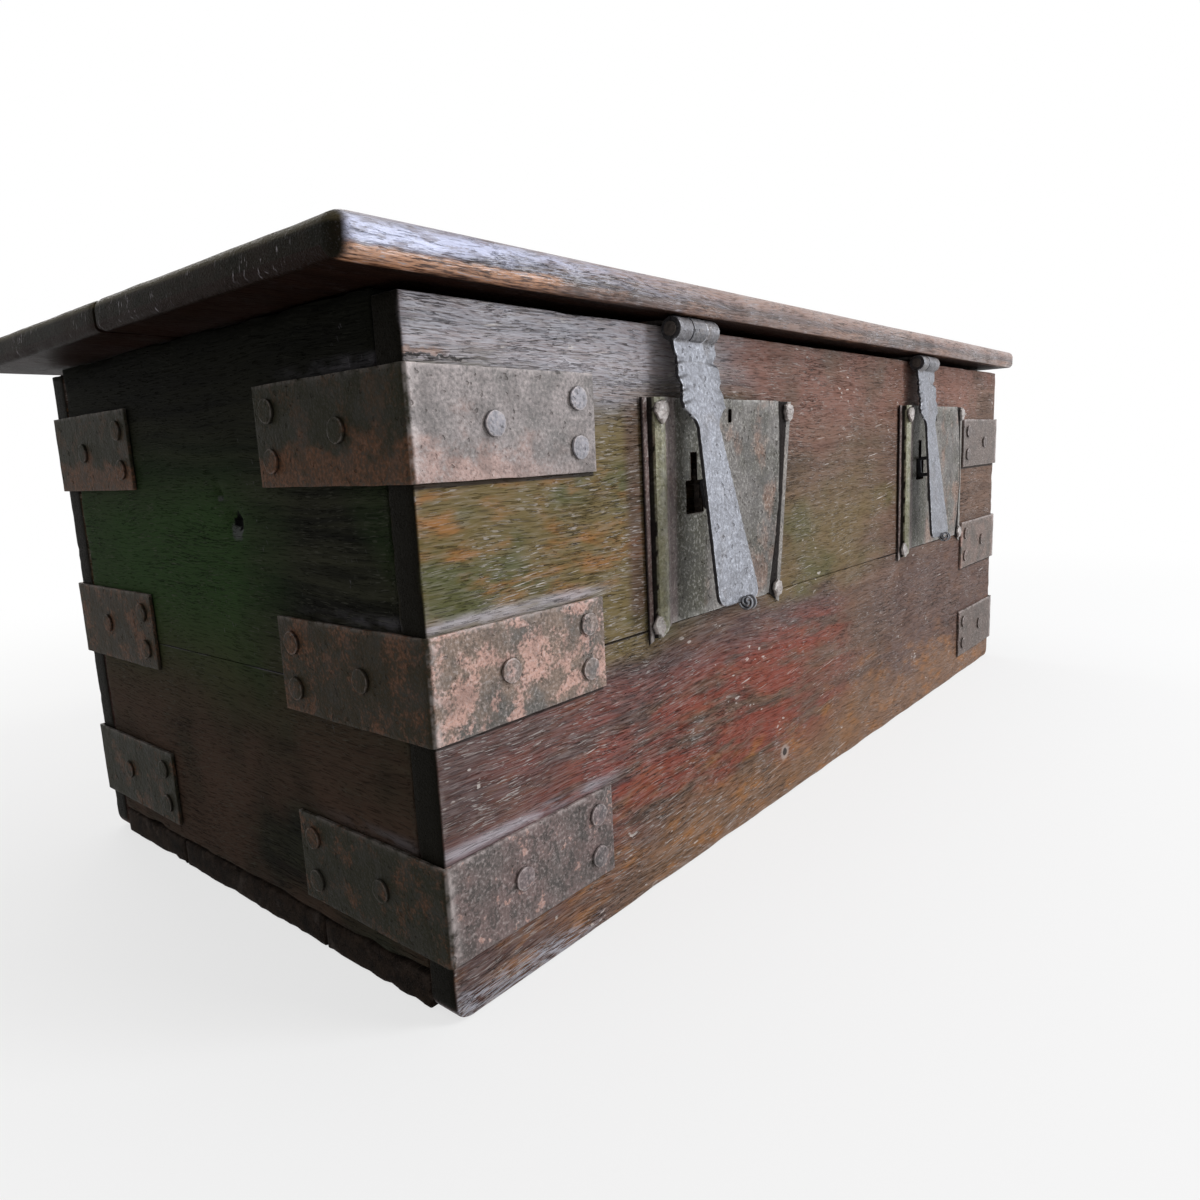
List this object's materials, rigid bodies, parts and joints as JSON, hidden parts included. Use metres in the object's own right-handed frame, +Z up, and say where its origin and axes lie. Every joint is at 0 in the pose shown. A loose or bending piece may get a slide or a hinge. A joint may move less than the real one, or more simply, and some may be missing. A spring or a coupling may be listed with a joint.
{
  "type": "iron-bound chest",
  "caption": "Boarded wooden coffer bound with iron corner straps, with a hinged overhanging lid and hasps that fasten over plate locks with sliding bolts.",
  "frame": {"origin": "middle of the overall footprint on the surface that the chest stands on", "axes": "+X along the front from left to right, +Y from front to back, +Z up"},
  "size_m": [1.135, 0.6058, 0.4533],
  "materials": {
    "lid_wood": "old dark waxed board, glossy",
    "wall_wood": "dark open-grained board, worn",
    "side_wood": "near-black aged board",
    "bottom_wood": "dark unpolished board",
    "strap_iron": "hammered wrought iron, brown patina with dark pits",
    "plate_iron": "dished and hammered sheet iron, pitted grey-brown",
    "hasp_iron": "forged iron worn bright and pitted",
    "inner_iron": "forged iron, dark and dry"
  },
  "bodies": {
    "chest": {"front_board_upper": "wall_wood", "front_board_lower": "wall_wood", "back_board_upper": "wall_wood", "back_board_lower": "wall_wood", "left_side_board_lower": "side_wood", "left_side_board_upper": "side_wood", "right_side_board_lower": "side_wood", "right_side_board_upper": "side_wood", "bottom_board_1": "bottom_wood", "bottom_board_2": "bottom_wood", "bottom_board_3": "bottom_wood", "corner_strap_front_left_low": "strap_iron", "corner_strap_front_left_middle": "strap_iron", "corner_strap_front_left_high": "strap_iron", "corner_strap_back_left_low": "strap_iron", "corner_strap_back_left_middle": "strap_iron", "corner_strap_back_left_high": "strap_iron", "corner_strap_front_right_low": "strap_iron", "corner_strap_front_right_middle": "strap_iron", "corner_strap_front_right_high": "strap_iron", "corner_strap_back_right_low": "strap_iron", "corner_strap_back_right_middle": "strap_iron", "corner_strap_back_right_high": "strap_iron", "lock_plate_left": "plate_iron", "lock_keeper_left": "inner_iron", "lock_spring_left": "inner_iron", "lock_plate_right": "plate_iron", "lock_keeper_right": "inner_iron", "lock_spring_right": "inner_iron", "back_hinge_leaf_left": "inner_iron", "back_hinge_pin_left": "inner_iron", "back_hinge_leaf_right": "inner_iron", "back_hinge_pin_right": "inner_iron"},
    "lid": {"lid_board_front": "lid_wood", "lid_board_back": "lid_wood", "lid_strap_left": "inner_iron", "hasp_pin_left": "hasp_iron", "lid_strap_right": "inner_iron", "hasp_pin_right": "hasp_iron"},
    "hasp_left": {"hasp_left": "hasp_iron"},
    "hasp_right": {"hasp_right": "hasp_iron"},
    "bolt_left": {"lock_bolt_left": "inner_iron"},
    "bolt_right": {"lock_bolt_right": "inner_iron"}
  },
  "joints": [
    {"name": "lid_hinge", "type": "hinge", "parent": "chest", "child": "lid", "pos_m": [0.0205, 0.26719, 0.421], "axis": [-1, 0, 0], "range_deg": [0, 105]},
    {"name": "hasp_left_hinge", "type": "hinge", "parent": "lid", "child": "hasp_left", "pos_m": [-0.2635, -0.25386, 0.421], "axis": [-1, 0, 0], "range_deg": [-10.5, 112]},
    {"name": "hasp_right_hinge", "type": "hinge", "parent": "lid", "child": "hasp_right", "pos_m": [0.2265, -0.25386, 0.421], "axis": [-1, 0, 0], "range_deg": [-6, 116]},
    {"name": "bolt_left_slide", "type": "slide", "parent": "chest", "child": "bolt_left", "axis": [-1, 0, 0], "range_m": [0, 0.02]},
    {"name": "bolt_right_slide", "type": "slide", "parent": "chest", "child": "bolt_right", "axis": [-1, 0, 0], "range_m": [0, 0.02]}
  ]
}
